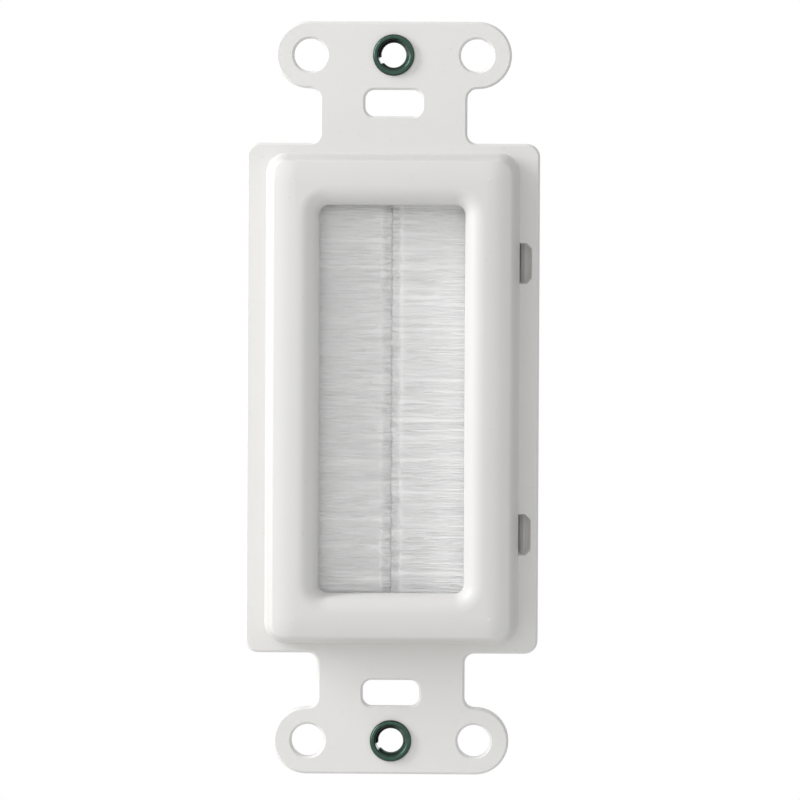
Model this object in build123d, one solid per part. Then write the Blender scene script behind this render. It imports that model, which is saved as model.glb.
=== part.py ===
from build123d import *
import math
import os

# Cable pass-through insert for a single gang decorator wall plate, in millimetres.
# +X is to the right as seen from the room, +Z is up, and the room is on the -Y side.
# The origin is the centre of the opening, on the strap's back face, which meets the wall.

# Strap: the thin plate that fastens to the box, with an ear at each end
STRAP_THICKNESS = 2.0
STRAP_EDGE_CHAMFER = 0.3
FLANGE_WIDTH = 41.4
FLANGE_HEIGHT = 72.0
FLANGE_CORNER_RADIUS = 1.9
NECK_WIDTH = 20.8
NECK_FILLET = 1.4
EAR_WIDTH = 33.3
EAR_HEIGHT = 9.45

# Fastening pattern of a single gang device
PLATE_SCREW_SPACING = 96.84
BOX_SLOT_SPACING = 83.34
BOX_SLOT_WIDTH = 8.0
BOX_SLOT_HEIGHT = 3.7
BOX_SLOT_CORNER_RADIUS = 1.3
EAR_HOLE_SPACING = 23.5
EAR_HOLE_DIAMETER = 4.6

# Raised bezel that fills the rectangular window of the wall plate
BEZEL_BASE_WIDTH = 35.8
BEZEL_BASE_HEIGHT = 69.3
BEZEL_BASE_CORNER_RADIUS = 3.0
BEZEL_RISE = 6.5
BEZEL_INSET = 1.15
BEZEL_CROWN_RADIUS = 8.5
BEZEL_CREST_MARGIN = 3.2
BEZEL_CROWN_REACH = 6.5
BEZEL_EDGE_RADIUS = 0.7
BEZEL_WALL = 1.8
OPENING_WIDTH = 20.5
OPENING_HEIGHT = 54.6
OPENING_CORNER_RADIUS = 1.3
OPENING_ROLL_RADIUS = 2.7
LIP_WALL = 1.5
SKIRT_DEPTH = 4.2

# Brush strips: each a folded channel that grips filaments doubled round a core wire
CHANNEL_LENGTH = 61.0
CHANNEL_DEPTH = 4.0
CHANNEL_HEIGHT = 3.4
CHANNEL_SHEET = 0.5
CHANNEL_MOUTH = 2.0
CHANNEL_CLEARANCE = 0.1
CORE_WIRE_DIAMETER = 1.2
BRUSH_PLANE_Y = -2.8
BRUSH_MOUTH_X = 11.2
TUFT_COUNT = 38
TUFT_PITCH = 1.57
TUFT_HEIGHT = 1.45
TUFT_ROOT_THICKNESS = 1.85
TUFT_TIP_THICKNESS = 2.9
TUFT_TIP_LEAN = 0.55
TUFT_TIP_GAP = 0.3
TUFT_UNEVENNESS = 0.18

# Threaded eyelets for the two wall plate screws
EYELET_FLANGE_DIAMETER = 5.86
EYELET_BARREL_DIAMETER = 4.5
EYELET_BORE_DIAMETER = 3.5
EYELET_MOUTH_DIAMETER = 4.3
EYELET_MOUTH_DEPTH = 0.7
EYELET_DOME = 0.5
EYELET_BEVEL = 0.3
EYELET_CLEARANCE = 0.02
CLINCH_DIAMETER = 5.7
CLINCH_DEPTH = 0.6

# Snap fit between the frame and the rear retainer
LATCH_SPACING = 38.3
WINDOW_WIDTH = 1.75
WINDOW_HEIGHT = 5.8
WINDOW_CHAMFER = 0.75
CATCH_RISE = 0.75
CATCH_FRONT_Y = 2.2
CATCH_BACK_Y = 3.9
CATCH_HEIGHT = 3.0
TAB_HEIGHT = 6.6
TAB_REACH = 2.0
LATCH_GAP = 0.12
LATCH_TIP_Y = 0.15
LATCH_TIP_CHAMFER = 0.6
LATCH_CROSSBAR_END_Y = 2.1
LATCH_LOOP_END_Y = 4.3
HINGE_SLOT_HEIGHT = 5.8
HINGE_SLOT_FRONT_Y = 1.2
HINGE_SLOT_BACK_Y = 2.8
HINGE_LUG_HEIGHT = 5.2
HINGE_LUG_THICKNESS = 1.3
HINGE_LUG_REACH = 1.3

# Rear retainer: the plate, its cable duct and the ribs that press on the channels
RETAINER_PLATE = 1.8
RETAINER_DUCT_WALL = 1.4
RETAINER_DUCT_FRONT_Y = -0.3
RETAINER_EXIT_CHAMFER = 0.8
RETAINER_EDGE_CHAMFER = 0.4
RIB_THICKNESS = 1.2
RIB_ROOT = 0.3
RIB_POSITIONS = (-28.6, -19.15, -6.4, 6.4, 19.15, 28.6)

# Derived places
STRAP_FRONT_Y = -STRAP_THICKNESS
BEZEL_FRONT_Y = STRAP_FRONT_Y - BEZEL_RISE
BEZEL_CLEAR_Y = BEZEL_FRONT_Y - BEZEL_WALL
CROWN_CENTRE_Y = BEZEL_FRONT_Y + BEZEL_CROWN_RADIUS
BEZEL_TAPER = math.degrees(math.atan(BEZEL_INSET / BEZEL_RISE))
CAVITY_FRONT_Y = BEZEL_FRONT_Y + BEZEL_WALL
CHANNEL_FRONT_Y = BRUSH_PLANE_Y - CHANNEL_HEIGHT / 2
CHANNEL_BACK_Y = BRUSH_PLANE_Y + CHANNEL_HEIGHT / 2
CHANNEL_BACK_X = BRUSH_MOUTH_X + CHANNEL_DEPTH
LIP_END_Y = CHANNEL_FRONT_Y - CHANNEL_CLEARANCE
SKIRT_OUTER_X = BEZEL_BASE_WIDTH / 2
SKIRT_INNER_X = SKIRT_OUTER_X - BEZEL_WALL
LATCH_ROWS = (-LATCH_SPACING / 2, LATCH_SPACING / 2)
CLINCH_FLARE = (CLINCH_DIAMETER - EYELET_BARREL_DIAMETER) / 2
CLINCH_TAPER = math.degrees(math.atan(CLINCH_FLARE / CLINCH_DEPTH))


def facing_room(y):
    """A plane at depth y whose normal points at the room, with +X right and +Z up."""
    return Plane(origin=(0, y, 0), x_dir=(1, 0, 0), z_dir=(0, -1, 0))


def slab(outline, back_y, front_y, taper=0):
    """A flat outline given thickness, from its back plane towards the room."""
    return extrude(facing_room(back_y) * outline, amount=back_y - front_y, taper=taper)


def block(x_range, y_range, z_range):
    """A rectangular block between two corners."""
    lows = (x_range[0], y_range[0], z_range[0])
    highs = (x_range[1], y_range[1], z_range[1])
    size = [high - low for low, high in zip(lows, highs)]
    return Pos(*lows) * Box(*size, align=(Align.MIN, Align.MIN, Align.MIN))


def rod(radius, back_y, front_y, x, z):
    """A round rod or drill along Y."""
    return slab(Pos(x, z) * Circle(radius), back_y, front_y)


def strap_outline():
    """The flange, both necks and both ears as one flat outline."""
    flange = RectangleRounded(FLANGE_WIDTH, FLANGE_HEIGHT, FLANGE_CORNER_RADIUS)
    ears = [
        Pos(0, end * PLATE_SCREW_SPACING / 2) * SlotOverall(EAR_WIDTH, EAR_HEIGHT)
        for end in (-1, 1)
    ]
    outline = flange + Rectangle(NECK_WIDTH, PLATE_SCREW_SPACING) + ears
    inner_corners = [
        corner
        for corner in outline.vertices()
        if abs(abs(corner.X) - NECK_WIDTH / 2) < 0.01
    ]
    return fillet(inner_corners, NECK_FILLET)


def strap():
    """The flat strap with its holes, every edge on the room side broken."""
    plate = slab(strap_outline(), 0, STRAP_FRONT_Y) - fastening_holes()
    front = plate.faces().sort_by(Axis.Y)[0]
    return chamfer(front.edges(), STRAP_EDGE_CHAMFER) - eyelet_seats()


def fastening_holes():
    """The round holes in the ears and the rounded slots for the box screws."""
    slot = RectangleRounded(BOX_SLOT_WIDTH, BOX_SLOT_HEIGHT, BOX_SLOT_CORNER_RADIUS)
    cutters = []
    for end in (-1, 1):
        screw_z = end * PLATE_SCREW_SPACING / 2
        for side in (-1, 1):
            x = side * EAR_HOLE_SPACING / 2
            cutters.append(rod(EAR_HOLE_DIAMETER / 2, 0, STRAP_FRONT_Y, x, screw_z))
        slot_z = end * BOX_SLOT_SPACING / 2
        cutters.append(slab(Pos(0, slot_z) * slot, 0, STRAP_FRONT_Y))
    return cutters


def eyelet_seats():
    """Bores for the two threaded eyelets, each flared at the back for the clinch."""
    barrel = EYELET_BARREL_DIAMETER / 2 + EYELET_CLEARANCE
    clinch = Circle(CLINCH_DIAMETER / 2 + EYELET_CLEARANCE)
    cutters = []
    for end in (-1, 1):
        screw_z = end * PLATE_SCREW_SPACING / 2
        cutters.append(rod(barrel, 0, STRAP_FRONT_Y, 0, screw_z))
        cutters.append(slab(Pos(0, screw_z) * clinch, 0, -CLINCH_DEPTH, CLINCH_TAPER))
    return cutters


def bezel():
    """The raised block: tapered sides, a face that falls away to its rim and a rolled opening."""
    raised = slab(base_outline(0), STRAP_FRONT_Y, BEZEL_CLEAR_Y, BEZEL_TAPER)
    raised -= crown_cutters()
    raised = fillet(rim_edges(raised), BEZEL_EDGE_RADIUS)
    raised -= slab(opening_outline(0), STRAP_FRONT_Y, BEZEL_FRONT_Y)
    opening = raised.faces().sort_by(Axis.Y)[0].inner_wires()[0]
    return fillet(opening.edges(), OPENING_ROLL_RADIUS)


def crown_cutters():
    """What is cleared in front of the bezel's face: a flat middle, four sides and four corners."""
    crest_x = OPENING_WIDTH / 2 + BEZEL_CREST_MARGIN
    crest_z = OPENING_HEIGHT / 2 + BEZEL_CREST_MARGIN
    turn = revolve(crown_section(), Axis.Y, 90)
    cutters = [block((-crest_x, crest_x), (BEZEL_CLEAR_Y, BEZEL_FRONT_Y), (-crest_z, crest_z))]
    for quarter in range(4):
        across, along = (crest_x, crest_z) if quarter % 2 == 0 else (crest_z, crest_x)
        facing = Rot(0, 90 * quarter, 0)
        cutters.append(facing * extrude(Pos(across, 0) * crown_section(), along, both=True))
        cutters.append(facing * Pos(across, 0, -along) * turn)
    return cutters


def crown_section():
    """The space in front of the crown, from its crest out past the bezel's side."""
    falls = [BEZEL_CROWN_REACH * share for share in (0, 0.5, 1)]
    arc = [(u, CROWN_CENTRE_Y - math.sqrt(BEZEL_CROWN_RADIUS**2 - u**2)) for u in falls]
    sides = Polyline(arc[2], (arc[2][0], BEZEL_CLEAR_Y), (0, BEZEL_CLEAR_Y), arc[0])
    return make_face(ThreePointArc(*arc) + sides)


def rim_edges(raised):
    """The edges where the bezel's face meets its sides."""
    clear = BEZEL_CREST_MARGIN + BEZEL_EDGE_RADIUS
    clear_x = OPENING_WIDTH / 2 + clear
    clear_z = OPENING_HEIGHT / 2 + clear
    rim = []
    for edge in raised.edges():
        ends = (edge.position_at(0), edge.position_at(1))
        outside = all(abs(end.X) > clear_x or abs(end.Z) > clear_z for end in ends)
        if outside and all(end.Y < CAVITY_FRONT_Y for end in ends):
            rim.append(edge)
    return rim


def opening_outline(margin):
    """The cable opening, grown by a margin on every side."""
    return RectangleRounded(
        OPENING_WIDTH + 2 * margin,
        OPENING_HEIGHT + 2 * margin,
        OPENING_CORNER_RADIUS + margin,
    )


def base_outline(margin):
    """The bezel's outline at the flange, shrunk by a margin on every side."""
    return RectangleRounded(
        BEZEL_BASE_WIDTH - 2 * margin,
        BEZEL_BASE_HEIGHT - 2 * margin,
        BEZEL_BASE_CORNER_RADIUS - margin,
    )


def brush_pocket():
    """The hollow behind the bezel, less the lip that stands round the opening."""
    straight = slab(base_outline(BEZEL_WALL), SKIRT_DEPTH, STRAP_FRONT_Y)
    tapered = slab(base_outline(BEZEL_WALL), STRAP_FRONT_Y, CAVITY_FRONT_Y, BEZEL_TAPER)
    lip = slab(opening_outline(LIP_WALL), LIP_END_Y, CAVITY_FRONT_Y)
    return straight + tapered - lip


def channel_seats(side):
    """Ribs in the pocket that one channel rests on, in front, outside and at its ends."""
    lip_x = OPENING_WIDTH / 2 + LIP_WALL / 2
    wall_x = SKIRT_INNER_X + RIB_ROOT
    wall_z = BEZEL_BASE_HEIGHT / 2 - BEZEL_WALL + RIB_ROOT
    front = (CAVITY_FRONT_Y, CHANNEL_FRONT_Y)
    full = (CAVITY_FRONT_Y, CHANNEL_BACK_Y)
    seats = []
    for z in RIB_POSITIONS:
        seats.append(block(sorted((side * lip_x, side * wall_x)), front, rib_span(z)))
        seats.append(block(sorted((side * CHANNEL_BACK_X, side * wall_x)), full, rib_span(z)))
    for end in (-1, 1):
        stop_z = sorted((end * (CHANNEL_LENGTH / 2 + CHANNEL_CLEARANCE), end * wall_z))
        stop_x = rib_span(side * (BRUSH_MOUTH_X + CHANNEL_DEPTH / 2))
        seats.append(block(stop_x, full, stop_z))
    return seats


def rib_span(middle):
    """The two sides of a rib about its middle."""
    return (middle - RIB_THICKNESS / 2, middle + RIB_THICKNESS / 2)


def window_outline(margin):
    """A latch window's outline beside the skirt, shrunk by a margin on every side."""
    width = WINDOW_WIDTH - 2 * margin
    height = WINDOW_HEIGHT - 2 * margin
    outline = Pos(SKIRT_OUTER_X + WINDOW_WIDTH / 2, 0) * Rectangle(width, height)
    return chamfer(outline.vertices().sort_by(Axis.X)[-2:], WINDOW_CHAMFER)


def latch_windows():
    """Openings in the right of the flange, in front of the two catches."""
    return [slab(Pos(0, z) * window_outline(0), 0, STRAP_FRONT_Y) for z in LATCH_ROWS]


def catches():
    """Wedges on the right of the skirt that the latch loops snap over."""
    wedge = Polygon(
        (SKIRT_OUTER_X - BEZEL_WALL / 2, CATCH_FRONT_Y),
        (SKIRT_OUTER_X + CATCH_RISE, CATCH_FRONT_Y),
        (SKIRT_OUTER_X + CATCH_RISE, (CATCH_FRONT_Y + CATCH_BACK_Y) / 2),
        (SKIRT_OUTER_X, CATCH_BACK_Y),
        (SKIRT_OUTER_X - BEZEL_WALL / 2, CATCH_BACK_Y),
        align=None,
    )
    return [Pos(0, 0, z) * extrude(wedge, CATCH_HEIGHT / 2, both=True) for z in LATCH_ROWS]


def hinge_slots():
    """Slots through the left of the skirt for the retainer's fixed lugs."""
    x_range = (-SKIRT_OUTER_X, -SKIRT_INNER_X)
    y_range = (HINGE_SLOT_FRONT_Y, HINGE_SLOT_BACK_Y)
    half = HINGE_SLOT_HEIGHT / 2
    return [block(x_range, y_range, (z - half, z + half)) for z in LATCH_ROWS]


def front_frame():
    """Strap, bezel and skirt, moulded as one piece."""
    body = strap() + bezel() + slab(base_outline(0), SKIRT_DEPTH, 0)
    body -= slab(opening_outline(0), SKIRT_DEPTH, BEZEL_FRONT_Y)
    body -= brush_pocket()
    body += channel_seats(-1) + channel_seats(1)
    body -= latch_windows()
    body -= hinge_slots()
    return body + catches()


def duct():
    """The retainer's plate and cable duct, with the edge that cables leave over broken."""
    back_y = SKIRT_DEPTH + RETAINER_PLATE
    plate = slab(retainer_outline(), back_y, SKIRT_DEPTH)
    plate = chamfer(plate.faces().sort_by(Axis.Y)[-1].edges(), RETAINER_EDGE_CHAMFER)
    plate += slab(opening_outline(RETAINER_DUCT_WALL), SKIRT_DEPTH, RETAINER_DUCT_FRONT_Y)
    plate -= slab(opening_outline(0), back_y, RETAINER_DUCT_FRONT_Y)
    exit_rim = plate.faces().sort_by(Axis.Y)[-1].inner_wires()[0]
    return chamfer(exit_rim.edges(), RETAINER_EXIT_CHAMFER)


def retainer_outline():
    """The retainer's plate as wide as the skirt, with a tab behind each window."""
    tab = Rectangle(2 * TAB_REACH, TAB_HEIGHT)
    return base_outline(0) + [Pos(SKIRT_OUTER_X, z) * tab for z in LATCH_ROWS]


def latches():
    """Looped arms outside the skirt: each crossbar lies behind its window."""
    arms = []
    for z in LATCH_ROWS:
        outline = Pos(0, z) * window_outline(LATCH_GAP)
        arm = slab(outline, SKIRT_DEPTH + RETAINER_PLATE / 2, LATCH_TIP_Y)
        tip = arm.faces().sort_by(Axis.Y)[0]
        arm = chamfer(tip.edges().sort_by(Axis.X)[0], LATCH_TIP_CHAMFER)
        half = CATCH_HEIGHT / 2 + LATCH_GAP
        across = (SKIRT_OUTER_X, SKIRT_OUTER_X + WINDOW_WIDTH)
        loop = (LATCH_CROSSBAR_END_Y, LATCH_LOOP_END_Y - LATCH_GAP)
        arms.append(arm - block(across, loop, (z - half, z + half)))
    return arms


def hinge_lugs():
    """Fixed hooks inside the skirt on the left, each with its nose in a slot."""
    outer = -SKIRT_INNER_X + CHANNEL_CLEARANCE
    inner = outer + HINGE_LUG_THICKNESS
    front = HINGE_SLOT_FRONT_Y + LATCH_GAP
    back = HINGE_SLOT_BACK_Y - LATCH_GAP
    hook = Polygon(
        (inner, SKIRT_DEPTH + RETAINER_PLATE / 2),
        (inner, front),
        (outer - HINGE_LUG_REACH, front),
        (outer - HINGE_LUG_REACH, back - CATCH_RISE / 2),
        (outer, back),
        (outer, SKIRT_DEPTH + RETAINER_PLATE / 2),
        align=None,
    )
    half = HINGE_LUG_HEIGHT / 2
    return [Pos(0, 0, z) * extrude(hook, half, both=True) for z in LATCH_ROWS]


def pressure_ribs():
    """Ribs that hold both channels forward against the frame."""
    inner = OPENING_WIDTH / 2 + RETAINER_DUCT_WALL / 2
    ribs = []
    for side in (-1, 1):
        x_range = sorted((side * inner, side * CHANNEL_BACK_X))
        y_range = (CHANNEL_BACK_Y, SKIRT_DEPTH + RETAINER_PLATE / 2)
        ribs += [block(x_range, y_range, rib_span(z)) for z in RIB_POSITIONS]
    return ribs


def rear_retainer():
    """The back cover that traps both brushes in the frame."""
    return duct() + pressure_ribs() + latches() + hinge_lugs()


def threaded_eyelet(end):
    """A raised eyelet with a flared mouth, clinched flush into the back of the ear."""
    bore = EYELET_BORE_DIAMETER / 2
    mouth = EYELET_MOUTH_DIAMETER / 2
    barrel = EYELET_BARREL_DIAMETER / 2
    flange = EYELET_FLANGE_DIAMETER / 2
    mouth_y = STRAP_FRONT_Y - EYELET_DOME / 2
    crest_y = STRAP_FRONT_Y - EYELET_DOME
    section = Polygon(
        (flange, STRAP_FRONT_Y),
        (barrel, STRAP_FRONT_Y),
        (barrel, -CLINCH_DEPTH),
        (CLINCH_DIAMETER / 2, 0),
        (bore, 0),
        (bore, mouth_y + EYELET_MOUTH_DEPTH),
        (mouth, mouth_y),
        (mouth + EYELET_BEVEL / 2, crest_y),
        (flange - EYELET_BEVEL, crest_y),
        align=None,
    )
    return Pos(0, 0, end * PLATE_SCREW_SPACING / 2) * revolve(section, Axis.Y)


def channel(side):
    """Sheet metal folded into a U and pinched at its mouth, opening towards the centre."""
    half = CHANNEL_HEIGHT / 2 - CHANNEL_SHEET / 2
    pinch = CHANNEL_MOUTH / 2 + CHANNEL_SHEET / 2
    near = BRUSH_MOUTH_X + CHANNEL_SHEET / 2
    knee = near + CHANNEL_DEPTH / 4
    far = CHANNEL_BACK_X - CHANNEL_SHEET / 2
    fold = FilletPolyline(
        (near, BRUSH_PLANE_Y - pinch),
        (knee, BRUSH_PLANE_Y - half),
        (far, BRUSH_PLANE_Y - half),
        (far, BRUSH_PLANE_Y + half),
        (knee, BRUSH_PLANE_Y + half),
        (near, BRUSH_PLANE_Y + pinch),
        radius=CHANNEL_SHEET,
    )
    profile = trace(fold, CHANNEL_SHEET)
    strip = extrude(profile, CHANNEL_LENGTH / 2, both=True)
    return strip if side > 0 else mirror(strip, Plane.YZ)


def core_wire(side):
    """The wire that the filaments are folded round."""
    x = side * core_wire_x()
    wire = Cylinder(CORE_WIRE_DIAMETER / 2, CHANNEL_LENGTH)
    return Pos(x, BRUSH_PLANE_Y, 0) * wire


def core_wire_x():
    """How far the core wires lie from the middle."""
    inside = CHANNEL_HEIGHT / 2 - CHANNEL_SHEET
    return CHANNEL_BACK_X - CHANNEL_SHEET - inside


def tuft(side, place):
    """One tuft: it fans out from the channel's mouth and its tip is trimmed unevenly."""
    z = (place - (TUFT_COUNT - 1) / 2) * TUFT_PITCH
    uneven = math.sin(2.4 * place + side) * math.cos(0.7 * place)
    root_x = side * (BRUSH_MOUTH_X + CHANNEL_SHEET)
    tip_x = side * (TUFT_TIP_GAP + TUFT_UNEVENNESS * uneven)
    tip_y = BRUSH_PLANE_Y + TUFT_TIP_LEAN + TUFT_UNEVENNESS * math.sin(1.7 * place)
    fan = Polygon(
        (root_x, BRUSH_PLANE_Y - TUFT_ROOT_THICKNESS / 2),
        (tip_x, tip_y - TUFT_TIP_THICKNESS / 2),
        (tip_x, tip_y + TUFT_TIP_THICKNESS / 2),
        (root_x, BRUSH_PLANE_Y + TUFT_ROOT_THICKNESS / 2),
        align=None,
    )
    body = Pos(0, 0, z) * extrude(fan, TUFT_HEIGHT / 2, both=True)
    front = body.edges().filter_by(lambda edge: edge.length > BRUSH_MOUTH_X / 2).sort_by(Axis.Y)[:2]
    return chamfer(front, TUFT_HEIGHT / 3)


def bristles(side):
    """The curtain of tufts on one side, joined where they loop round the core wire."""
    wire_x = core_wire_x()
    inside = CHANNEL_HEIGHT / 2 - CHANNEL_SHEET
    loop = Circle(inside)
    tail_length = wire_x - BRUSH_MOUTH_X
    tail = Pos(-tail_length / 2, 0) * Rectangle(tail_length, CHANNEL_MOUTH)
    bundle = Pos(wire_x, BRUSH_PLANE_Y) * (loop + tail - Circle(CORE_WIRE_DIAMETER / 2))
    half_length = TUFT_COUNT * TUFT_PITCH / 2
    root = extrude(bundle, half_length, both=True)
    root = root if side > 0 else mirror(root, Plane.YZ)
    return root + [tuft(side, place) for place in range(TUFT_COUNT)]


def build_all():
    """Every piece by its node name."""
    return {
        "front_frame": front_frame(),
        "rear_retainer": rear_retainer(),
        "top_threaded_eyelet": threaded_eyelet(1),
        "bottom_threaded_eyelet": threaded_eyelet(-1),
        "left_brush_channel": channel(-1),
        "right_brush_channel": channel(1),
        "left_core_wire": core_wire(-1),
        "right_core_wire": core_wire(1),
        "left_bristles": bristles(-1),
        "right_bristles": bristles(1),
    }


os.makedirs("parts", exist_ok=True)
for name, shape in build_all().items():
    export_step(shape, f"parts/{name}.step")
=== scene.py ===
import math

import bpy
import numpy as np
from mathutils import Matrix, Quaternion, Vector


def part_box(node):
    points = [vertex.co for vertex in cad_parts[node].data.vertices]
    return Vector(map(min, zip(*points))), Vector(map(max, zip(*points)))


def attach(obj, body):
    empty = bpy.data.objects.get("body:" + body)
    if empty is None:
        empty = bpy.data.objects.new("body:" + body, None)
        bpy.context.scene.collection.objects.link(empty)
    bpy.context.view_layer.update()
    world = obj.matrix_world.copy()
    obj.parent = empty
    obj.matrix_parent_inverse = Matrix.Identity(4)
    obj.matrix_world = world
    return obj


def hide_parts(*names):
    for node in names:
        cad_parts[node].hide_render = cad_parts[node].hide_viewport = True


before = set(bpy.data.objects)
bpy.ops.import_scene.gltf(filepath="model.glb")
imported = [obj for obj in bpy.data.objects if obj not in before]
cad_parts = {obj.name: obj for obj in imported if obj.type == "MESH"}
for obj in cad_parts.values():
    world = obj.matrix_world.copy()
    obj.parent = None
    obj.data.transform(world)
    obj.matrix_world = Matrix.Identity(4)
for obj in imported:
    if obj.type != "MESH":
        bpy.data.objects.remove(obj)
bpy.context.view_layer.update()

# Cable pass-through insert: looks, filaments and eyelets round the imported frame, in metres.
# +X is to the right as seen from the room, +Z is up, and the room is on the -Y side.
MM = 0.001

# Colours, linear
WARM_WHITE = (0.708, 0.703, 0.691, 1)
RETAINER_WHITE = (0.725, 0.72, 0.708, 1)
NYLON_WHITE = (0.99, 0.992, 0.994, 1)
GREEN_PASSIVATE = (0.055, 0.104, 0.081, 1)
# Painted shade: near black for the inside of the eyelets' mouths
PAINTED_SHADE_BLACK = (0.003, 0.007, 0.0055, 1)
RIM_BROWN = (0.026, 0.026, 0.015, 1)
# Painted highlight: near-white metal for the lit side of the mouths and for the notch
PAINTED_HIGHLIGHT_METAL = (0.86, 0.89, 0.88, 1)
GALVANISED = (0.62, 0.63, 0.64, 1)
WIRE_STEEL = (0.50, 0.50, 0.51, 1)
PALE_FLOOR = (0.82, 0.82, 0.81, 1)

# Painted shade: the raised block's colour darkens from -2.2 mm on, to 0.92 at -4.5 mm, standing in
# for light that glows through the thin strap and not through the thick block
BLOCK_PAINTED_SHADE = (-4.5 * MM, -2.2 * MM, 0.92, 1.0)

# Brush, by distance x from the middle of the opening and by depth about the core wire
SEED = 41
COMB_HALF_LENGTH = 29.6 * MM
ROOT_X = 11.7 * MM
ROOT_HALF_DEPTH = 0.92 * MM
TIP_HALF_DEPTH = 1.3 * MM
TIP_LEAN = 0.8 * MM
LEAN_BOW = {-1: 0.0, 1: 2.0}
GROOVE_X = -0.1 * MM
GROOVE_EDGE_X = 1.6 * MM
GROOVE_SHARE = 0.8

# The packed heart of a brush; its rings are given in mm
PACK_RINGS = (
    *(11.7, 10.2, 8.7, 7.2, 5.8, 4.5, 3.4, 2.7, 2.2, 1.85),
    *(1.55, 1.3, 1.08, 0.88, 0.7, 0.5, 0.32, 0.14, -0.05),
)
PACK_END_X = -0.06 * MM
PACK_ROWS = 740
PACK_SHARE = 0.92
RIB_KNOTS = 6
RIB_HEIGHT = 0.016 * MM
RIB_LIMIT = 0.1 * MM
TUFT_ROWS = 41
TUFT_SHARE = 0.3
TRIM_REACH = 2.5 * MM
TRIM_HEIGHT = 0.05 * MM
TRIM_LIMITS = (-0.15 * MM, 0.1 * MM)
PACK_TONE_SPREAD = 0.35

# The loose filaments round it
LOOSE_A_SIDE = 1300
FRONT_SHARE = 0.62
LOOSE_LIFT = 0.02 * MM
LOOSE_WAVE = 0.035 * MM
LOOSE_WAVE_LENGTH = 6 * MM
LOOSE_BOW = 0.1 * MM
STRAY_SHARE = 0.07
STRAY_LIFT = 4.0
STRAY_SPREAD = 3.0
FILAMENT_DIAMETER = 0.09 * MM
FILAMENT_TAPER = 0.8
FILAMENT_RINGS = 10
FILAMENT_SIDES = 3
RING_CROWDING = 0.5
TIP_X = 0.15 * MM
TIP_REST = 0.15 * MM
TIP_SPREAD = 0.14 * MM
TIP_WANDER = 0.15 * MM
WANDER_LENGTH = 3.7 * MM
SLOW_WANDER_LENGTH = 8.9 * MM
SLOW_WANDER_SHARE = 0.6
FLUSH_SHARE = 0.6
FLUSH_SPREAD = 0.4 * MM
SHORT_REACH = 6 * MM
LOOSE_TONE_SPREAD = 0.5

# Places on the bake map, as shares of the map and of one filament's cell
LAYOUT_COLUMNS = 20
LAYOUT_SKIN_SHARE = 0.96
LAYOUT_END_MIDDLES = (0.25, 0.75)
LAYOUT_END_HALF_WIDTH = 0.2
LAYOUT_END_FILL = 0.8
CELL_LEFT = 0.04
CELL_LOW = 0.08
CELL_SPAN = 0.84
CELL_TIP = ((0.91, 0.2), (0.97, 0.5), (0.91, 0.8))

# Eyelets, by radius and by height y, where the strap's front is at -2 and its back at 0
EYELET_STEPS = 96
STRAP_FRONT = -2.0 * MM
BARREL_RADIUS = 2.25 * MM
BORE_RADIUS = 1.75 * MM
BORE_CHAMFER = 0.12 * MM
BORE_LAND = -0.1 * MM
MOUTH_BOTTOM = -1.5 * MM
MOUTH_RIM = 0.1 * MM
MOUTH_SHARES = (0.12, 1, 7)
MOUTH_CURVE = 1.3
BEAD_CENTRE = 2.53 * MM
BEAD_HALF_WIDTH = 0.40 * MM
BEAD_HEIGHT = 0.5 * MM
BEAD_ANGLES = (165, 0, 16)
BEAD_FULLNESS = 0.8
CLINCH_DEPTH = 0.6 * MM
CLINCH = (
    (2.84 * MM, -0.04 * MM),
    (2.74 * MM, 0),
    (2.5 * MM, -0.05 * MM),
    (2.2 * MM, -0.09 * MM),
    (2.0 * MM, -0.03 * MM),
)
THREAD_PITCH = 0.794 * MM
THREAD_DEPTH = 0.2 * MM
THREAD_START = -0.15 * MM
THREAD_RINGS = 30
THREAD_RUN_IN = 0.2 * MM
THREAD_RUN_OUT = 0.25 * MM
THREAD_FULLNESS = 0.8
KEYWAY_START = 190
KEYWAY_END = 216
KEYWAY_SOFT = 3
KEYWAY_RADIUS = 2.1 * MM

# Painted light and shade in the eyelets' mouths, by angle, radius and height
DARK_ANGLE = 145
LIT_ANGLE = 25
CONE_EDGE = (2.15 * MM, 2.5 * MM)
FRONT_EDGE = (-1.7 * MM, -0.9 * MM)
KEYWAY_EDGE = (2.12 * MM, 2.28 * MM)
RIM_EDGE = (2.72 * MM, 2.92 * MM)

# Camera and light
CAMERA_DISTANCE = 0.95
CAMERA_AZIMUTH = 1.2
CAMERA_ELEVATION = 2.0
CAMERA_ROLL = 0.27
VIEW_WIDTH = 112.9 * MM
VIEW_CENTRE = (1.11 * MM, -2.0 * MM, -0.2 * MM)
NEAR_CLIP = 0.05
FAR_CLIP = 20
KEY_TURN = 72
KEY_RISE = 25
KEY_DISTANCE = 0.5
KEY_WIDTH = 0.09
KEY_HEIGHT = 0.34
KEY_POWER = 1.97
SKY_EVEN = 0.1
SKY_FRONT_AND_BACK = 0.9
SKY_LEFT = 0.68
SKY_ABOVE = 0.16
SHEET_HALF = 1.6
FLOOR_Z = -0.2
BACKDROP_Y = 1.3
BACKDROP_Z = 0.6


class Value:
    """A number that varies over a surface. Sums and products of values add Math nodes."""

    def __init__(self, finish, socket):
        self.finish = finish
        self.socket = socket

    def math(self, operation, first, second):
        node = self.finish.node("ShaderNodeMath", {"operation": operation}, {0: first, 1: second})
        return Value(self.finish, node.outputs[0])

    def __add__(self, other):
        return self.math("ADD", self, other)

    def __radd__(self, other):
        return self.math("ADD", other, self)

    def __sub__(self, other):
        return self.math("SUBTRACT", self, other)

    def __rsub__(self, other):
        return self.math("SUBTRACT", other, self)

    def __mul__(self, other):
        return self.math("MULTIPLY", self, other)


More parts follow.
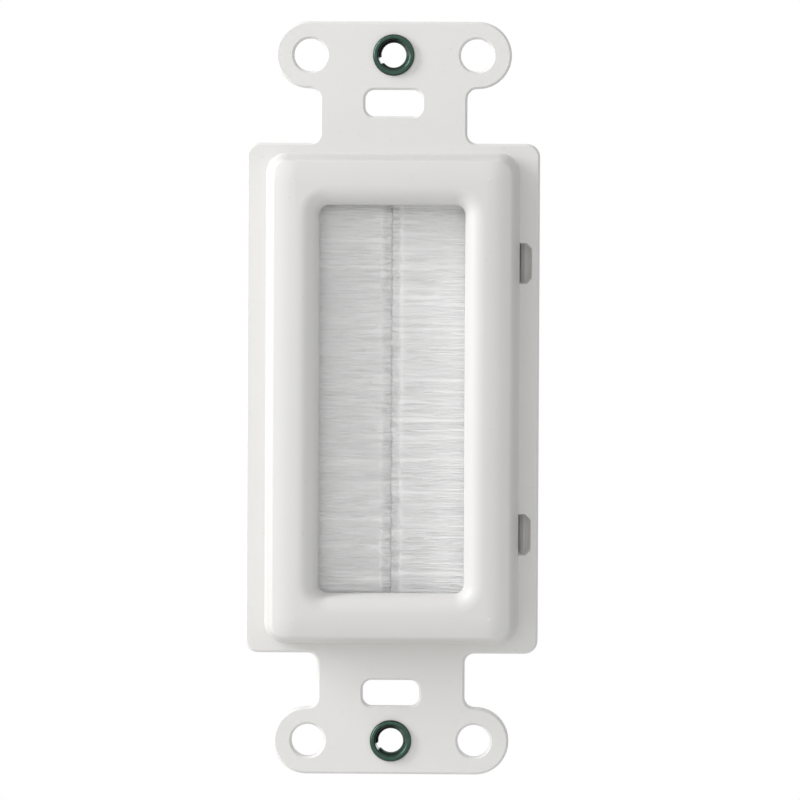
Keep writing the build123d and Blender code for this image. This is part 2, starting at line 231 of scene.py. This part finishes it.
class Finish:
    """A node tree, with one method that adds any node and a few for what repeats."""

    def __init__(self, owner):
        owner.use_nodes = True
        self.owner = owner
        self.tree = owner.node_tree
        self.tree.nodes.clear()

    def feed(self, socket, value):
        if isinstance(value, Value):
            self.tree.links.new(value.socket, socket)
        elif isinstance(value, bpy.types.NodeSocket):
            self.tree.links.new(value, socket)
        else:
            socket.default_value = value

    def node(self, kind, settings=None, sockets=None):
        made = self.tree.nodes.new(kind)
        for name, setting in (settings or {}).items():
            setattr(made, name, setting)
        for name, value in (sockets or {}).items():
            self.feed(made.inputs[name], value)
        return made

    def place(self, stretch=(1, 1, 1)):
        """Position on the object in metres, stretched along its axes."""
        coordinates = self.node("ShaderNodeTexCoord")
        mapping = self.node("ShaderNodeMapping", {}, {0: coordinates.outputs["Object"], 3: stretch})
        return mapping.outputs[0]

    def height(self):
        """How far a point lies from the wall's plane: negative is towards the room."""
        place = self.node("ShaderNodeTexCoord").outputs["Object"]
        return Value(self, self.node("ShaderNodeSeparateXYZ", {}, {0: place}).outputs["Y"])

    def attribute(self, name):
        """A number kept with the piece's points."""
        node = self.node("ShaderNodeAttribute", {"attribute_name": name})
        return Value(self, node.outputs["Fac"])

    def noise(self, size, stretch=(1, 1, 1), detail=3.0, roughness=0.5):
        """Noise from 0 to 1 whose grains are about as large as size, in metres."""
        sockets = {"Scale": 1 / size, "Detail": detail, "Roughness": roughness}
        sockets["Vector"] = self.place(stretch)
        node = self.node("ShaderNodeTexNoise", {}, sockets)
        return Value(self, node.outputs[0])

    def ramp(self, value, low, high, low_to=0.0, high_to=1.0):
        """A value stretched from low..high to another range, clamped and eased."""
        node = self.node(
            "ShaderNodeMapRange",
            {"interpolation_type": "SMOOTHSTEP"},
            {0: value, 1: low, 2: high, 3: low_to, 4: high_to},
        )
        return Value(self, node.outputs[0])

    def shade(self, colour, factor):
        """A colour made lighter or darker by a factor about 1."""
        grey = self.node("ShaderNodeCombineColor", {}, {0: factor, 1: factor, 2: factor})
        mix = self.node(
            "ShaderNodeMix",
            {"data_type": "RGBA", "blend_type": "MULTIPLY"},
            {0: 1.0, 6: colour, 7: grey.outputs[0]},
        )
        return mix.outputs[2]

    def mix(self, factor, first, second):
        """One colour fading into another."""
        node = self.node("ShaderNodeMix", {"data_type": "RGBA"}, {0: factor, 6: first, 7: second})
        return node.outputs[2]

    def bump(self, height, depth):
        """Relief: a height from 0 to 1 that stands for a depth in metres."""
        sockets = {"Height": height, "Distance": depth, "Strength": 1.0}
        return self.node("ShaderNodeBump", {}, sockets).outputs[0]

    def surface(self, sockets):
        """The principled surface and the output that shows it."""
        shader = self.node("ShaderNodeBsdfPrincipled", {}, sockets)
        self.node("ShaderNodeOutputMaterial", {}, {0: shader.outputs[0]})
        return self.owner


def moulded_plastic(name, colour, roughness, painted_block_shade=None):
    """Moulded plastic: faint clouding, a fine grain, rare faint specks and light scuffs."""
    finish = Finish(bpy.data.materials.new(name))
    # Painted shade: when given, the colour darkens further towards the room, so the raised block
    # looks darker than the strap
    if painted_block_shade:
        colour = finish.shade(colour, finish.ramp(finish.height(), *painted_block_shade))
    cloud = finish.noise(14 * MM, detail=2.0)
    grain = finish.noise(0.22 * MM, detail=2.0)
    sheen = finish.noise(3 * MM, detail=4.0)
    speck = finish.ramp(finish.noise(0.8 * MM, detail=0.0), 0.82, 0.90)
    rubbed_and_painted_highlight = finish.ramp(finish.noise(9 * MM, detail=1.0), 0.55, 0.7)
    lines = finish.noise(0.3 * MM, stretch=(1, 1, 0.09), detail=2.0)
    scuff = finish.ramp(lines, 0.62, 0.72) * rubbed_and_painted_highlight
    tone = 0.98 + cloud * 0.035 - speck * 0.05 + scuff * 0.012
    return finish.surface(
        {
            "Base Color": finish.shade(colour, tone),
            "Roughness": roughness - 0.05 + sheen * 0.1 + scuff * 0.14,
            "Specular IOR Level": 0.42,
            "Normal": finish.bump(grain + scuff * 0.5, 0.006 * MM),
        }
    )


def green_passivated_steel():
    """Dark green plating with fine turning rings; painted shade turns the inside of the mouth near
    black, most on its upper left, and painted highlights lighten its right side and the notch to
    near-white metal.
    """
    finish = Finish(bpy.data.materials.new("green_passivated_steel"))
    rings = finish.noise(0.07 * MM, stretch=(0.2, 1, 0.2), detail=3.0)
    patches = finish.noise(0.8 * MM, detail=4.0)
    bore_shading = finish.attribute("bore_light_and_shade")
    rim = finish.attribute("bead_rim")
    sound = finish.shade(GREEN_PASSIVATE, 0.65 + patches * 0.7)
    edged = finish.mix(finish.ramp(rim + patches * 0.4, 0.3, 1.0), sound, RIM_BROWN)
    # Painted shade: below 0 the colour fades to near black
    shaded_colour = finish.mix(finish.ramp(bore_shading * -1.0, 0.05, 0.95), edged, PAINTED_SHADE_BLACK)
    # Painted highlight: above 0 the colour fades to near-white metal
    rubbed_and_painted_highlight = finish.ramp(bore_shading + (patches - 0.5) * 0.12, 0.02, 0.85)
    return finish.surface(
        {
            "Base Color": finish.mix(rubbed_and_painted_highlight, shaded_colour, PAINTED_HIGHLIGHT_METAL),
            "Metallic": 1.0,
            "Roughness": 0.3 + rings * 0.14,
            "Normal": finish.bump(rings, 0.004 * MM),
        }
    )


def rolled_metal(name, colour, roughness, stretch):
    """Metal with long fine draw lines along Z and a faint spangle."""
    finish = Finish(bpy.data.materials.new(name))
    lines = finish.noise(0.12 * MM, stretch=stretch, detail=4.0, roughness=0.6)
    spangle = finish.noise(4 * MM, detail=2.0)
    return finish.surface(
        {
            "Base Color": finish.shade(colour, 0.86 + lines * 0.16 + spangle * 0.1),
            "Metallic": 1.0,
            "Roughness": roughness - 0.08 + lines * 0.16,
            "Normal": finish.bump(lines, 0.005 * MM),
        }
    )


def nylon(name, scatter):
    """Natural nylon: each filament has its own tone, and packed ones let light spread inside."""
    finish = Finish(bpy.data.materials.new(name))
    tone = finish.attribute("strand_tone")
    streak = finish.noise(0.35 * MM, stretch=(0.08, 1, 1), detail=3.0)
    return finish.surface(
        {
            "Base Color": finish.shade(NYLON_WHITE, 0.985 + tone * 0.03 + streak * 0.015),
            "Roughness": 0.3 + streak * 0.15,
            "Specular IOR Level": 1.0,
            "Coat Weight": 0.8,
            "Coat Roughness": 0.35,
            "Subsurface Weight": scatter,
            "Subsurface Radius": (1.0, 1.0, 1.0),
            "Subsurface Scale": 0.6 * MM,
        }
    )


def painted_floor():
    """A pale studio sweep with a faint unevenness."""
    finish = Finish(bpy.data.materials.new("painted_floor"))
    cloud = finish.noise(150 * MM, detail=3.0)
    return finish.surface(
        {
            "Base Color": finish.shade(PALE_FLOOR, 0.98 + cloud * 0.04),
            "Roughness": 0.7 + cloud * 0.1,
        }
    )


def white_backdrop():
    """A pale wall that is white where it is seen, in a mirror or through something clear."""
    finish = Finish(bpy.data.materials.new("white_backdrop"))
    cloud = finish.noise(200 * MM, detail=2.0)
    colour = finish.shade(PALE_FLOOR, 0.98 + cloud * 0.04)
    wall = finish.node("ShaderNodeBsdfDiffuse", {}, {0: colour})
    white = finish.node("ShaderNodeEmission", {}, {0: (1, 1, 1, 1), 1: 1.0})
    shown = {0: seen_directly(finish), 1: wall.outputs[0], 2: white.outputs[0]}
    mix = finish.node("ShaderNodeMixShader", {}, shown)
    finish.node("ShaderNodeOutputMaterial", {}, {0: mix.outputs[0]})
    return finish.owner


def seen_directly(finish):
    """1 for rays from the camera, a reflection or clear things, and 0 for light that falls."""
    path = finish.node("ShaderNodeLightPath")
    seen = Value(finish, path.outputs["Is Camera Ray"])
    for name in ("Is Glossy Ray", "Is Transmission Ray"):
        seen = seen.math("MAXIMUM", seen, path.outputs[name])
    return seen


def dress_cad_nodes():
    """Each CAD node gets the finish of what it is made of."""
    frame_plastic = moulded_plastic("frame_plastic", WARM_WHITE, 0.42, BLOCK_PAINTED_SHADE)
    retainer_plastic = moulded_plastic("retainer_plastic", RETAINER_WHITE, 0.5)
    channel_metal = rolled_metal("channel_metal", GALVANISED, 0.38, (1, 1, 0.02))
    core_wire_steel = rolled_metal("core_wire_steel", WIRE_STEEL, 0.32, (1, 1, 0.03))
    finishes = {
        "front_frame": frame_plastic,
        "rear_retainer": retainer_plastic,
        "left_brush_channel": channel_metal,
        "right_brush_channel": channel_metal,
        "left_core_wire": core_wire_steel,
        "right_core_wire": core_wire_steel,
    }
    for name, material in finishes.items():
        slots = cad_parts[name].data.materials
        slots.clear()
        slots.append(material)


def mesh_piece(name, points, faces, material, rounded=True):
    """A mesh object from points and faces."""
    mesh = bpy.data.meshes.new(name)
    mesh.from_pydata([tuple(point) for point in points], [], faces)
    mesh.materials.append(material)
    if rounded:
        mesh.shade_smooth()
    else:
        mesh.shade_flat()
    mesh.update()
    piece = bpy.data.objects.new(name, mesh)
    bpy.context.scene.collection.objects.link(piece)
    return piece


def side_name(side):
    """The word for a side: -1 is left and 1 is right."""
    return "right" if side > 0 else "left"


def brush_middle(side):
    """The y of the core wire that grips one brush."""
    return sum(corner.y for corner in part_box(f"{side_name(side)}_core_wire")) / 2


def pack_depth(x, side):
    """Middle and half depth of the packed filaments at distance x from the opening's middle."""
    along = 1 - np.clip(x / ROOT_X, 0, 1)
    half = ROOT_HALF_DEPTH + (TIP_HALF_DEPTH - ROOT_HALF_DEPTH) * along
    end = np.clip((GROOVE_EDGE_X - x) / (GROOVE_EDGE_X - PACK_END_X), 0, 1)
    lean = TIP_LEAN * along * (1 + LEAN_BOW[side] * (1 - along))
    return lean, half * (1 - GROOVE_SHARE * end**2 * (3 - 2 * end))


def groove_shift(x):
    """The two brushes don't meet quite in the middle."""
    return GROOVE_X * (1 - x / ROOT_X)


def packed_filaments(side, draw):
    """The dense heart of a brush: a ribbed skin over filaments that lie side by side."""
    steps = np.array(PACK_RINGS) * MM
    x = np.concatenate([steps, [PACK_END_X], steps[::-1]])
    face = np.concatenate([-np.ones(len(steps)), [0], np.ones(len(steps))])
    lean, half = pack_depth(x, side)
    z = np.linspace(-COMB_HALF_LENGTH, COMB_HALF_LENGTH, PACK_ROWS)
    knots = np.linspace(0, ROOT_X, RIB_KNOTS)
    ribs = draw.normal(0, 1, (PACK_ROWS, 2, len(knots)))
    waves = np.cumsum(draw.normal(0, 1, (PACK_ROWS, 2)), 0)
    window = np.ones(TUFT_ROWS) / TUFT_ROWS
    waves = waves - np.array([np.convolve(column, window, "same") for column in waves.T]).T
    points = np.zeros((PACK_ROWS, len(x), 3))
    for row in range(PACK_ROWS):
        front, back = (np.interp(x, knots, heights) for heights in ribs[row])
        rib = np.where(face < 0, front, back)
        tuft = np.where(face < 0, waves[row, 0], waves[row, 1])
        raised = RIB_HEIGHT * (rib + TUFT_SHARE * tuft * (1 - x / ROOT_X))
        trimmed = np.clip(1 - (x - PACK_END_X) / TRIM_REACH, 0, 1) * TRIM_HEIGHT * waves[row, 0]
        swell = half * PACK_SHARE + np.clip(raised, -RIB_LIMIT, RIB_LIMIT)
        points[row, :, 0] = side * (x + np.clip(trimmed, *TRIM_LIMITS)) + groove_shift(x)
        points[row, :, 1] = brush_middle(side) + lean + face * swell
        points[row, :, 2] = z[row]
    return points


def loose_filaments(side, draw):
    """The centre line of every filament near the surface: filaments by rings by xyz."""
    count = LOOSE_A_SIDE
    face = np.where(draw.random(count) < FRONT_SHARE, -1.0, 1.0)
    along = draw.uniform(-COMB_HALF_LENGTH, COMB_HALF_LENGTH, count)
    stray = draw.random(count) < STRAY_SHARE
    lift = np.abs(draw.normal(0, 1, count)) * LOOSE_LIFT * np.where(stray, STRAY_LIFT, 1.0)
    flush = draw.random(count) < FLUSH_SHARE
    at_end, short_of_it = draw.normal(0, FLUSH_SPREAD, count), draw.uniform(0, SHORT_REACH, count)
    tip_x = TIP_X + np.where(flush, at_end, short_of_it)
    slow = SLOW_WANDER_SHARE * np.sin(along / SLOW_WANDER_LENGTH)
    wander = np.sin(along / WANDER_LENGTH + side) + slow
    spread = draw.normal(0, TIP_SPREAD, count) * np.where(stray, STRAY_SPREAD, 1.0)
    tip_z = along + TIP_WANDER * wander + spread
    tip_z = np.clip(tip_z, -COMB_HALF_LENGTH, COMB_HALF_LENGTH)
    steps = np.linspace(0, 1, FILAMENT_RINGS) ** RING_CROWDING
    x = ROOT_X + (tip_x - ROOT_X)[:, None] * steps[None]
    over_groove = TIP_REST + (1 - TIP_REST / GROOVE_EDGE_X) * x
    lean, half = pack_depth(np.where(x < GROOVE_EDGE_X, over_groove, x), side)
    wave = np.sin(2 * np.pi * (x / LOOSE_WAVE_LENGTH + draw.random((count, 1)))) * LOOSE_WAVE
    clear = half * PACK_SHARE + lift[:, None] * steps[None] + wave
    bow = draw.normal(0, LOOSE_BOW, (count, 1)) * np.sin(np.pi * steps)[None]
    y = brush_middle(side) + lean + face[:, None] * clear
    z = along[:, None] + (tip_z - along)[:, None] * steps[None] + bow
    return np.stack([side * x + groove_shift(x), y, z], 2)


def strand_mesh(lines, side, draw):
    """Three-sided strands along the given lines: points, side quads and one closed tip each."""
    count = len(lines)
    corners = np.arange(FILAMENT_SIDES) * 2 * np.pi / FILAMENT_SIDES
    turn = draw.uniform(0, 2 * np.pi, (count, 1)) + corners[None]
    thickness = np.linspace(1, FILAMENT_TAPER, FILAMENT_RINGS) * FILAMENT_DIAMETER / 2
    ring = np.stack([np.zeros_like(turn), np.cos(turn), np.sin(turn)], 2)
    points = lines[:, :, None] + ring[:, None] * thickness[None, :, None, None]
    per_strand = FILAMENT_RINGS * FILAMENT_SIDES
    wall = []
    for step in range(FILAMENT_RINGS - 1):
        for corner in range(FILAMENT_SIDES):
            after = (corner + 1) % FILAMENT_SIDES
            low, high = step * FILAMENT_SIDES, (step + 1) * FILAMENT_SIDES
            wall.append((low + corner, low + after, high + after, high + corner))
    wall = np.array(wall)[:, ::-side]
    cap = np.arange(per_strand - FILAMENT_SIDES, per_strand)[::-side]
    starts = np.arange(count)[:, None] * per_strand
    quads = (starts[:, :, None] + wall[None]).reshape(-1, 4).tolist()
    return points.reshape(-1, 3), quads, (starts + cap[None]).tolist()


def skin_faces(rows, columns, side):
    """Quads over a closed skin of rows by columns, and one face over each end."""
    start, column = np.arange(rows - 1)[:, None] * columns, np.arange(columns)[None]
    first, beside = start + column, start + (column + 1) % columns
    quads = np.stack([first, beside, beside + columns, first + columns], 2)
    quads = quads.reshape(-1, 4)[:, ::side]
    low_end = list(range(columns))[::-side]
    high_end = list(range((rows - 1) * columns, rows * columns))[::side]
    return quads.tolist(), [low_end, high_end]


def brush(side, draw, packed, loose):
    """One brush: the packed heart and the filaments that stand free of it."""
    pack = packed_filaments(side, draw)
    rows, columns = pack.shape[:2]
    skin, ends = skin_faces(rows, columns, side)
    heart_name = f"{side_name(side)}_packed_filaments"
    heart = mesh_piece(heart_name, pack.reshape(-1, 3), skin + ends, packed)
    tone = draw.normal(0, PACK_TONE_SPREAD, rows)
    keep_number(heart, "strand_tone", np.repeat(tone, columns))
    keep_layout(heart, skin_layout(rows, columns, side))
    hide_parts(f"{side_name(side)}_bristles")
    strands, quads, tips = strand_mesh(loose_filaments(side, draw), side, draw)
    free = mesh_piece(f"{side_name(side)}_loose_filaments", strands, quads + tips, loose)
    tone = np.clip(draw.normal(0, LOOSE_TONE_SPREAD, LOOSE_A_SIDE), -1, 1)
    keep_number(free, "strand_tone", np.repeat(tone, FILAMENT_RINGS * FILAMENT_SIDES))
    keep_layout(free, strand_layout(LOOSE_A_SIDE, side))
    for piece in (heart, free):
        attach(piece, "root")


def skin_layout(rows, columns, side):
    """The skin unrolled: columns across, rows upwards, and both ends in a strip at the top."""
    row, column = np.meshgrid(np.arange(rows - 1), np.arange(columns), indexing="ij")
    across = np.stack([column, column + 1, column + 1, column], 2) / columns
    upward = np.stack([row, row, row + 1, row + 1], 2) / rows * LAYOUT_SKIN_SHARE
    skin = np.stack([across, upward], 3).reshape(-1, 4, 2)[:, ::side]
    turn = np.arange(columns) * 2 * np.pi / columns
    strip = (1 - LAYOUT_SKIN_SHARE) / 2
    half_height = LAYOUT_END_FILL * strip
    oval = np.stack([LAYOUT_END_HALF_WIDTH * np.cos(turn), half_height * np.sin(turn)], 1)
    ends = [oval + np.array([middle, 1 - strip]) for middle in LAYOUT_END_MIDDLES]
    return np.concatenate([skin.reshape(-1, 2)] + ends)


def strand_layout(count, side):
    """One cell for each strand: its sides stacked, its segments in a row and its tip at the end."""
    rows = math.ceil(count / LAYOUT_COLUMNS)
    index = np.arange(count)
    cell = np.stack([index % LAYOUT_COLUMNS, index // LAYOUT_COLUMNS], 1)
    segment = CELL_LEFT + CELL_SPAN * np.arange(FILAMENT_RINGS) / (FILAMENT_RINGS - 1)
    band = CELL_LOW + CELL_SPAN * np.arange(FILAMENT_SIDES + 1) / FILAMENT_SIDES
    wall = []
    for near, far in zip(segment, segment[1:]):
        for low, high in zip(band, band[1:]):
            wall.append([(near, low), (near, high), (far, high), (far, low)][::-side])
    size = np.array([1 / LAYOUT_COLUMNS, 1 / rows])
    walls = (cell[:, None, None] + np.array(wall)[None]) * size
    tips = (cell[:, None] + np.array(CELL_TIP)[None]) * size
    return np.concatenate([walls.reshape(-1, 2), tips.reshape(-1, 2)])


def keep_layout(piece, corners):
    """Places on the bake map for each corner of each face."""
    layer = piece.data.uv_layers.new(name="OFBake")
    layer.data.foreach_set("uv", np.asarray(corners, np.float32).ravel())


def keep_number(piece, name, values):
    """A number for each point of a piece, which its finish reads."""
    attribute = piece.data.attributes.new(name, "FLOAT", "POINT")
    attribute.data.foreach_set("value", np.asarray(values, np.float32))


def smooth(low, high, value):
    """0 below low, 1 above high and an eased step between."""
    share = min(1, max(0, (value - low) / (high - low)))
    return share * share * (3 - 2 * share)


def eyelet_section():
    """Radius, height and thread share of each ring, from the bore's back round to the clinch."""
    section = [(BORE_RADIUS + BORE_CHAMFER, 0, 0), (BORE_RADIUS, BORE_LAND, 0)]
    for height in np.linspace(THREAD_START, MOUTH_BOTTOM, THREAD_RINGS):
        run_out = (height - MOUTH_BOTTOM) / THREAD_RUN_OUT
        run_in = (BORE_LAND - height) / THREAD_RUN_IN
        section.append((BORE_RADIUS, height, max(0, min(1, run_out, run_in))))
    flare = BEAD_CENTRE - BEAD_HALF_WIDTH - BORE_RADIUS
    drop = STRAP_FRONT - MOUTH_RIM - MOUTH_BOTTOM
    for share in np.linspace(*MOUTH_SHARES):
        section.append((BORE_RADIUS + flare * share**MOUTH_CURVE, MOUTH_BOTTOM + drop * share, 0))
    for turn in np.linspace(*BEAD_ANGLES):
        angle = math.radians(turn)
        out = BEAD_CENTRE + BEAD_HALF_WIDTH * math.cos(angle)
        section.append((out, STRAP_FRONT - BEAD_HEIGHT * math.sin(angle) ** BEAD_FULLNESS, 0))
    section.append((BARREL_RADIUS, STRAP_FRONT, 0))
    section.append((BARREL_RADIUS, -CLINCH_DEPTH, 0))
    for radius, height in CLINCH:
        section.append((radius, height, 0))
    return section


def keyway(angle):
    """1 inside the notch that runs along each eyelet's bore, 0 outside it."""
    begun = smooth(KEYWAY_START - KEYWAY_SOFT, KEYWAY_START + KEYWAY_SOFT, angle)
    ended = smooth(KEYWAY_END - KEYWAY_SOFT, KEYWAY_END + KEYWAY_SOFT, angle)
    return begun * (1 - ended)


def plating(radius, height, angle):
    """Painted light and shade in the mouth: 1 is a painted near-white highlight, 0 is the plating's
    own colour, and -1 is painted near-black shade.
    """
    inside = 1 - smooth(*CONE_EDGE, radius)
    front = 1 - smooth(*FRONT_EDGE, height)
    dark_facing = math.cos(math.radians(angle - DARK_ANGLE))
    lit_facing = math.cos(math.radians(angle - LIT_ANGLE))
    # Painted shade: the inside of the mouth is darkened, most on the side facing DARK_ANGLE, the
    # upper left
    dark = inside * (0.3 + 0.7 * smooth(-0.25, 0.6, dark_facing))
    # Painted highlight: the right side of the mouth, which faces the lamp at the left, is lightened
    rubbed_and_painted_highlight = inside * smooth(0.5, 1.0, lit_facing) * 0.8
    # Painted highlight: the notch in the bore turns to near-white metal near the front
    notch_highlight = keyway(angle) * front * (1 - smooth(*KEYWAY_EDGE, radius))
    return max(-1, rubbed_and_painted_highlight * 0.35 - dark * (1 - rubbed_and_painted_highlight)) * (1 - notch_highlight) + notch_highlight


def turned_eyelet(end, material):
    """A steel eyelet with a rolled bead, a tapered mouth and a thread in its bore."""
    section = eyelet_section()
    centre_z = sum(corner.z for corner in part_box(f"{end}_threaded_eyelet")) / 2
    points, painted_shading, rim = [], [], []
    for radius, height, thread in section:
        for step in range(EYELET_STEPS):
            turn = step / EYELET_STEPS
            phase = (height / THREAD_PITCH + turn) % 1
            groove = thread * THREAD_DEPTH * (1 - abs(2 * phase - 1)) ** THREAD_FULLNESS
            angle = turn * 2 * math.pi
            degrees = math.degrees(angle)
            out = radius + groove
            if radius < KEYWAY_RADIUS:
                out += (KEYWAY_RADIUS - out) * keyway(degrees)
            points.append((out * math.cos(angle), height, centre_z + out * math.sin(angle)))
            # Painted light and shade in the mouth, kept with each point
            painted_shading.append(plating(radius + groove * 0.5, height, degrees))
            rim.append(smooth(*RIM_EDGE, radius))
    rings = len(section)
    faces = []
    for ring in range(rings):
        for step in range(EYELET_STEPS):
            beside = (step + 1) % EYELET_STEPS
            above = (ring + 1) % rings
            corners = (ring, step), (above, step), (above, beside), (ring, beside)
            faces.append([row * EYELET_STEPS + column for row, column in corners])
    piece = mesh_piece(f"{end}_turned_eyelet", points, faces, material)
    keep_number(piece, "bore_light_and_shade", painted_shading)
    keep_number(piece, "bead_rim", rim)
    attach(piece, "root")
    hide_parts(f"{end}_threaded_eyelet")


def toward(azimuth, elevation):
    """The direction from the plate to a place in front of it, turned to the right and raised."""
    level = math.cos(elevation)
    return Vector((math.sin(azimuth) * level, -math.cos(azimuth) * level, math.sin(elevation)))


def studio():
    """Pale floor and backdrop, a soft surround and a tall narrow lamp at the left."""
    floor = sheet("floor", painted_floor())
    floor.location = (0, 0, FLOOR_Z)
    backdrop = sheet("backdrop", white_backdrop())
    backdrop.location = (0, BACKDROP_Y, BACKDROP_Z)
    backdrop.rotation_euler = (math.radians(90), 0, 0)
    surround()
    lamp = bpy.data.lights.new("key", "AREA")
    lamp.shape = "RECTANGLE"
    lamp.size = KEY_WIDTH
    lamp.size_y = KEY_HEIGHT
    lamp.energy = KEY_POWER
    key = bpy.data.objects.new("key", lamp)
    bpy.context.scene.collection.objects.link(key)
    turn, rise = math.radians(KEY_TURN), math.radians(KEY_RISE)
    direction = toward(-turn, rise)
    key.location = direction * KEY_DISTANCE
    key.rotation_mode = "QUATERNION"
    key.rotation_quaternion = direction.to_track_quat("Z", "Y")


def surround():
    """An even sky, stronger in front, behind and at the left, and white where it is seen."""
    world = bpy.data.worlds.new("surround")
    bpy.context.scene.world = world
    sky = Finish(world)
    direction = sky.node("ShaderNodeTexCoord").outputs["Generated"]
    parts = sky.node("ShaderNodeSeparateXYZ", {}, {0: direction}).outputs
    across, depth, upward = (Value(sky, parts[axis]) for axis in "XYZ")
    from_left = across.math("MAXIMUM", across * -1.0, 0.0)
    from_ends = depth.math("MAXIMUM", depth, depth * -1.0)
    from_above = upward.math("MAXIMUM", upward, 0.0)
    falling = SKY_EVEN + from_ends * SKY_FRONT_AND_BACK
    falling = falling + from_left * SKY_LEFT + from_above * SKY_ABOVE
    seen = seen_directly(sky)
    strength = seen + (1 - seen) * falling
    light = sky.node("ShaderNodeBackground", {}, {0: (1, 1, 1, 1), 1: strength})
    sky.node("ShaderNodeOutputWorld", {}, {0: light.outputs[0]})


def sheet(name, material):
    """A flat square of the studio."""
    corners = [(x * SHEET_HALF, y * SHEET_HALF, 0) for x, y in ((-1, -1), (1, -1), (1, 1), (-1, 1))]
    return mesh_piece(name, corners, [(0, 1, 2, 3)], material, rounded=False)


def camera():
    """A long lens, a little to the right of the plate and a little above it."""
    back = toward(math.radians(CAMERA_AZIMUTH), math.radians(CAMERA_ELEVATION))
    data = bpy.data.cameras.new("camera")
    data.lens = data.sensor_width * CAMERA_DISTANCE / VIEW_WIDTH
    data.clip_start = NEAR_CLIP
    data.clip_end = FAR_CLIP
    seen = bpy.data.objects.new("camera", data)
    bpy.context.scene.collection.objects.link(seen)
    seen.location = Vector(VIEW_CENTRE) + back * CAMERA_DISTANCE
    seen.rotation_mode = "QUATERNION"
    roll = Quaternion((0, 0, 1), math.radians(CAMERA_ROLL))
    seen.rotation_quaternion = (-back).to_track_quat("-Z", "Y") @ roll
    bpy.context.scene.camera = seen


bpy.context.scene.view_settings.view_transform = "Standard"
dress_cad_nodes()
packed, loose = nylon("packed_nylon", 1.0), nylon("loose_nylon", 0.0)
for side in (-1, 1):
    brush(side, np.random.default_rng(SEED + side), packed, loose)
eyelet_steel = green_passivated_steel()
for end in ("top", "bottom"):
    turned_eyelet(end, eyelet_steel)
studio()
camera()
